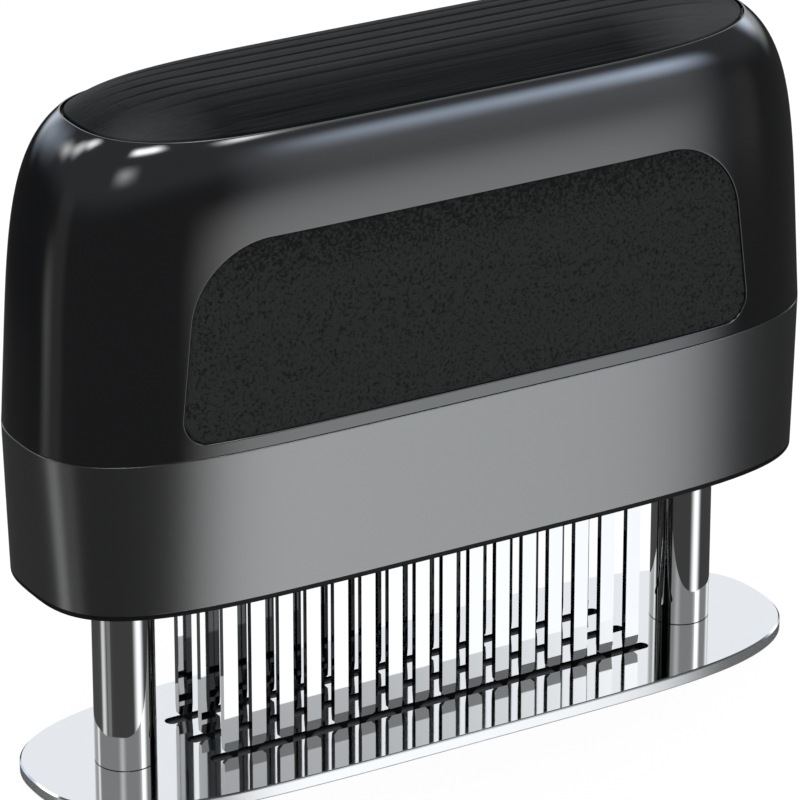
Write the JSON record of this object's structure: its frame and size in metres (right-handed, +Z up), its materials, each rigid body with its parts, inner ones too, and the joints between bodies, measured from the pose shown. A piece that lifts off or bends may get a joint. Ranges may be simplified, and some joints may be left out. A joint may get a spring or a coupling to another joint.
{
  "type": "blade meat tenderizer",
  "caption": "Press-down meat tenderizer: a sprung grip housing slides on two posts and pushes rows of flat blades through a slotted base plate.",
  "frame": {"origin": "middle of the base plate's underside", "axes": "+X along the length, +Y to the rear, +Z up along the posts"},
  "size_m": [0.153, 0.0464, 0.1252],
  "materials": {
    "polished_steel": "mirror-polished stainless steel",
    "chrome_post": "bright chrome",
    "blade_steel": "mirror-polished stainless steel, ground edges",
    "spring_steel": "plain spring steel",
    "screw_steel": "plain steel",
    "gunmetal_band": "satin gunmetal, anodised",
    "gloss_shell": "high-gloss near-black moulding",
    "soft_grip": "matte soft grip with fine ridges",
    "grain_panel": "charcoal with a fine leather-like grain",
    "frame_plastic": "black moulding",
    "bush_plastic": "natural acetal",
    "carrier_plastic": "dark grey moulding"
  },
  "bodies": {
    "stand": {"base_plate": "polished_steel", "left_post": "chrome_post", "right_post": "chrome_post", "post_screws": "screw_steel", "left_retaining_ring": "spring_steel", "right_retaining_ring": "spring_steel", "left_spring": "spring_steel", "right_spring": "spring_steel"},
    "press_handle": {"upper_shell": "gloss_shell", "top_grip_insert": "soft_grip", "front_grip_panel": "grain_panel", "rear_grip_panel": "grain_panel", "lower_band": "gunmetal_band", "lower_frame": "frame_plastic", "left_guide_bush": "bush_plastic", "right_guide_bush": "bush_plastic", "left_spring_guide": "bush_plastic", "right_spring_guide": "bush_plastic", "blade_carrier": "carrier_plastic", "front_blade_row": "blade_steel", "middle_blade_row": "blade_steel", "rear_blade_row": "blade_steel", "blade_pins": "screw_steel", "carrier_screws": "screw_steel", "housing_screws": "screw_steel"}
  },
  "joints": [
    {"name": "press", "type": "slide", "parent": "stand", "child": "press_handle", "axis": [0, 0, -1], "range_m": [0, 0.03], "stiffness_N_per_m": 480, "springref_m": -0.025, "deforming": ["left_spring", "right_spring"]}
  ]
}
